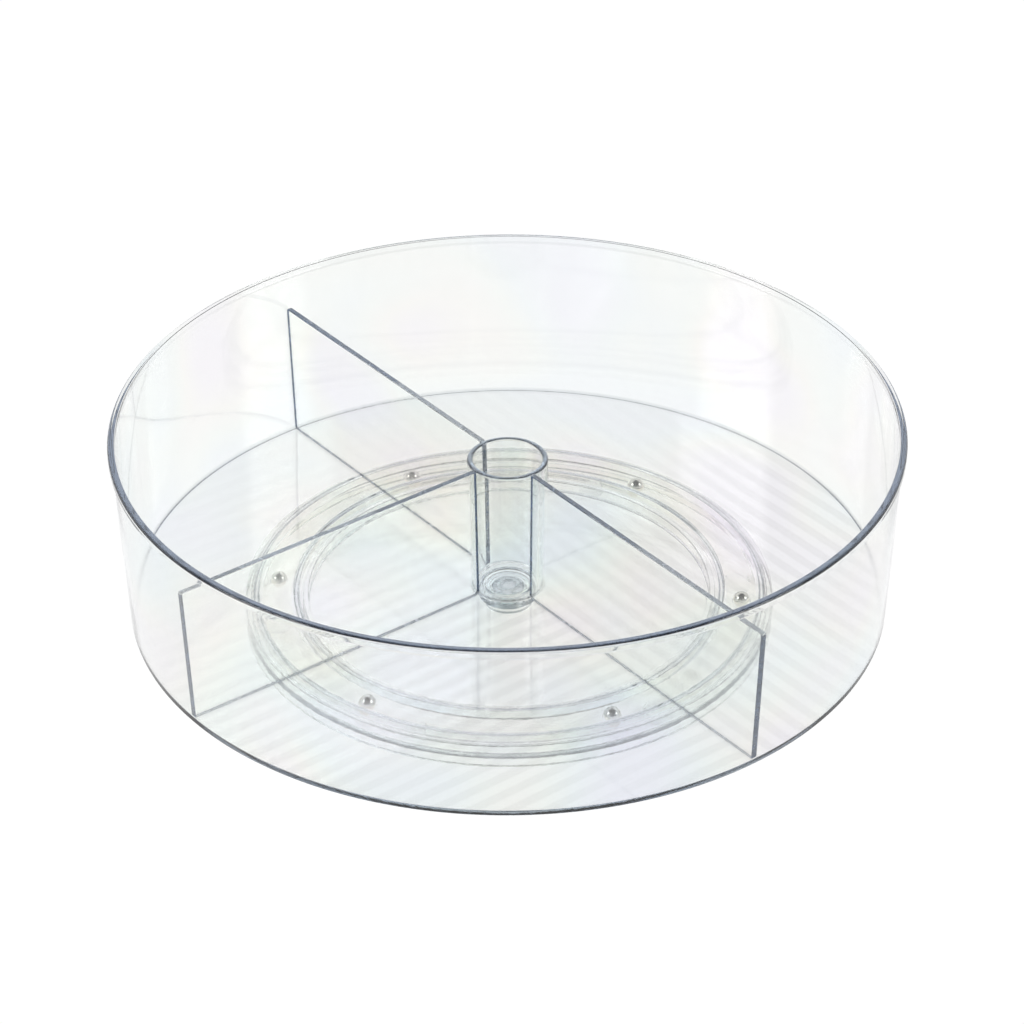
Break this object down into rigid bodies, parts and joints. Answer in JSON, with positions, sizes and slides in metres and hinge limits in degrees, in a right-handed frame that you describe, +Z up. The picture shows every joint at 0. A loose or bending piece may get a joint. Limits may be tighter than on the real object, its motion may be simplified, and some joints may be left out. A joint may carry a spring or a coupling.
{
  "type": "lazy susan turntable",
  "caption": "Round clear tray with a centre tube and upright dividers that turns on a ring of steel balls over a low clear base.",
  "frame": {"origin": "on the table under the centre of the turntable, level with the undersides of the feet", "axes": "+Z up along the spin axis; at rest the dividers stand along +Y, -X and -Y, and the half compartment is on the +X side"},
  "size_m": [0.292, 0.292, 0.0839],
  "materials": {
    "clear_plastic": "clear moulded plastic with polished faces and a faint blue-grey tint that shows along its edges",
    "base_plastic": "clear moulded plastic, polished",
    "cage_plastic": "natural translucent plastic with a faint warm haze",
    "ball_steel": "polished bearing steel",
    "foot_rubber": "clear soft rubber"
  },
  "bodies": {
    "base": {"base_plate": "base_plastic", "pivot_bush": "base_plastic", "pivot_pin": "base_plastic", "foot_1": "foot_rubber", "foot_2": "foot_rubber", "foot_3": "foot_rubber", "foot_4": "foot_rubber", "foot_5": "foot_rubber", "foot_6": "foot_rubber"},
    "tray": {"tray": "clear_plastic", "centre_tube": "clear_plastic", "divider_rear": "clear_plastic", "divider_side": "clear_plastic", "divider_front": "clear_plastic"},
    "cage": {"ball_cage": "cage_plastic"},
    "ball_1": {"ball_1": "ball_steel"},
    "ball_2": {"ball_2": "ball_steel"},
    "ball_3": {"ball_3": "ball_steel"},
    "ball_4": {"ball_4": "ball_steel"},
    "ball_5": {"ball_5": "ball_steel"},
    "ball_6": {"ball_6": "ball_steel"}
  },
  "joints": [
    {"name": "tray_spin", "type": "hinge", "parent": "base", "child": "tray", "pos_m": [0, 0, 0.0125], "axis": [0, 0, 1], "continuous": true},
    {"name": "cage_spin", "type": "hinge", "parent": "base", "child": "cage", "pos_m": [0, 0, 0.0093], "axis": [0, 0, 1], "continuous": true},
    {"name": "ball_1_roll", "type": "hinge", "parent": "cage", "child": "ball_1", "pos_m": [0.08397, 0.02632, 0.0093], "axis": [0.9542, 0.299, 0], "continuous": true},
    {"name": "ball_2_roll", "type": "hinge", "parent": "cage", "child": "ball_2", "pos_m": [0.0192, 0.08588, 0.0093], "axis": [0.2181, 0.9759, 0], "continuous": true},
    {"name": "ball_3_roll", "type": "hinge", "parent": "cage", "child": "ball_3", "pos_m": [-0.06478, 0.05957, 0.0093], "axis": [-0.7361, 0.6769, 0], "continuous": true},
    {"name": "ball_4_roll", "type": "hinge", "parent": "cage", "child": "ball_4", "pos_m": [-0.08397, -0.02632, 0.0093], "axis": [-0.9542, -0.299, 0], "continuous": true},
    {"name": "ball_5_roll", "type": "hinge", "parent": "cage", "child": "ball_5", "pos_m": [-0.0192, -0.08588, 0.0093], "axis": [-0.2181, -0.9759, 0], "continuous": true},
    {"name": "ball_6_roll", "type": "hinge", "parent": "cage", "child": "ball_6", "pos_m": [0.06478, -0.05957, 0.0093], "axis": [0.7361, -0.6769, 0], "continuous": true}
  ],
  "couplings": [
    {"joint": "cage_spin", "follows": "tray_spin", "ratio": 0.5},
    {"joint": "ball_1_roll", "follows": "tray_spin", "ratio": -13.858},
    {"joint": "ball_2_roll", "follows": "tray_spin", "ratio": -13.858},
    {"joint": "ball_3_roll", "follows": "tray_spin", "ratio": -13.858},
    {"joint": "ball_4_roll", "follows": "tray_spin", "ratio": -13.858},
    {"joint": "ball_5_roll", "follows": "tray_spin", "ratio": -13.858},
    {"joint": "ball_6_roll", "follows": "tray_spin", "ratio": -13.858}
  ]
}
